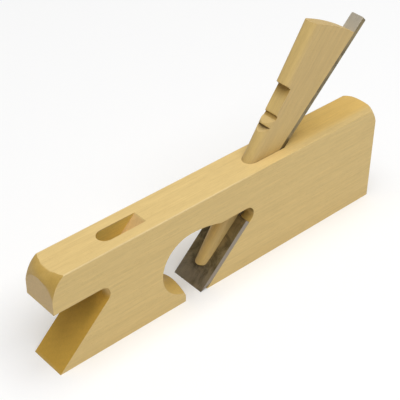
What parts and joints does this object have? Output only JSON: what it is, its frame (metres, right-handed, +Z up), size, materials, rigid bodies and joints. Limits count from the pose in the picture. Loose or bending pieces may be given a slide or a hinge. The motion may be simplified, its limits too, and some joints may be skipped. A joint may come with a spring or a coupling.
{
  "type": "wooden rebate plane",
  "caption": "Narrow wooden rebate plane with a round escapement, an open iron seat at the nose, and a T-shaped iron held by a long barbed wedge",
  "frame": {"origin": "on the sole, under the middle of the block's length and width", "axes": "+X from the nose to the heel, +Y across the plane, +Z up from the sole"},
  "size_m": [0.28, 0.027, 0.1608],
  "materials": {
    "body_wood": "planed pale beech, oiled, slightly golden, fine grain along the block",
    "iron_steel": "forged tool steel with a dark brown patina, brighter ground edges",
    "wedge_wood": "planed pale beech, a little redder than the block, grain along the wedge"
  },
  "bodies": {
    "block": {"plane_body": "body_wood"},
    "iron": {"iron": "iron_steel"},
    "wedge": {"wedge": "wedge_wood"}
  },
  "joints": [
    {"name": "wedge_slide", "type": "slide", "parent": "block", "child": "wedge", "axis": [0.7071, 0, 0.7071], "range_m": [0, 0.1]},
    {"name": "iron_slide", "type": "slide", "parent": "block", "child": "iron", "axis": [0.7071, 0, 0.7071], "range_m": [-0.16, 0.0015]}
  ]
}
